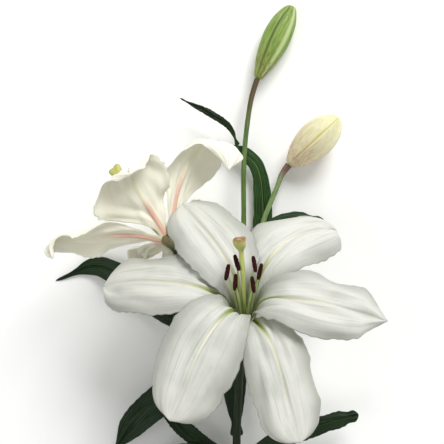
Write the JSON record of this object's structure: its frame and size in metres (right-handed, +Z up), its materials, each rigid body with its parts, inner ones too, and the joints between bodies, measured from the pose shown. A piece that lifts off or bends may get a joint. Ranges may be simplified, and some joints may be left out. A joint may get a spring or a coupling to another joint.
{
  "type": "cut lily",
  "caption": "Cut white lily lying down: a leafy stem with open trumpet flowers, one facing up and one facing down, and closed buds on slender stalks.",
  "frame": {"origin": "middle of the underside of the bounding box, on the surface that the lily lies on", "axes": "+Y along the stem towards the buds, +Z up, +X to the right seen from above with the buds away from the viewer"},
  "size_m": [0.2192, 0.415, 0.13],
  "materials": {
    "petal": "satin waxy white petal, green at the throat",
    "stem": "satin green plant stem, purple-brown towards the buds",
    "stalk": "satin green stalk with a purple-brown shade",
    "leaf": "satin dark green leaf with lengthwise veins",
    "green_bud": "satin ribbed green bud",
    "cream_bud": "satin cream bud, pink at its foot",
    "pistil": "moist yellow-green style with a tan stigma",
    "filament": "smooth pale green filament",
    "anther": "matt dark red-brown pollen"
  },
  "bodies": {
    "root": {"stem": "stem", "stalk_main_flower": "stalk", "stalk_side_flower": "stalk", "stalk_green_bud": "stalk", "stalk_cream_bud": "stalk", "green_bud": "green_bud", "cream_bud": "cream_bud", "leaf_1": "leaf", "leaf_2": "leaf", "leaf_3": "leaf", "leaf_4": "leaf", "leaf_5": "leaf", "leaf_6": "leaf", "leaf_7": "leaf", "leaf_8": "leaf", "leaf_9": "leaf", "leaf_10": "leaf", "leaf_11": "leaf", "bract": "leaf", "main_tepal_inner_1": "petal", "main_tepal_inner_2": "petal", "main_tepal_inner_3": "petal", "main_tepal_outer_1": "petal", "main_tepal_outer_2": "petal", "main_tepal_outer_3": "petal", "main_pistil": "pistil", "main_filament_1": "filament", "main_anther_1": "anther", "main_filament_2": "filament", "main_anther_2": "anther", "main_filament_3": "filament", "main_anther_3": "anther", "main_filament_4": "filament", "main_anther_4": "anther", "main_filament_5": "filament", "main_anther_5": "anther", "main_filament_6": "filament", "main_anther_6": "anther", "side_tepal_inner_1": "petal", "side_tepal_inner_2": "petal", "side_tepal_inner_3": "petal", "side_tepal_outer_1": "petal", "side_tepal_outer_2": "petal", "side_tepal_outer_3": "petal", "side_pistil": "pistil", "side_filament_1": "filament", "side_anther_1": "anther", "side_filament_2": "filament", "side_anther_2": "anther", "side_filament_3": "filament", "side_anther_3": "anther", "side_filament_4": "filament", "side_anther_4": "anther", "side_filament_5": "filament", "side_anther_5": "anther", "side_filament_6": "filament", "side_anther_6": "anther"}
  },
  "joints": []
}
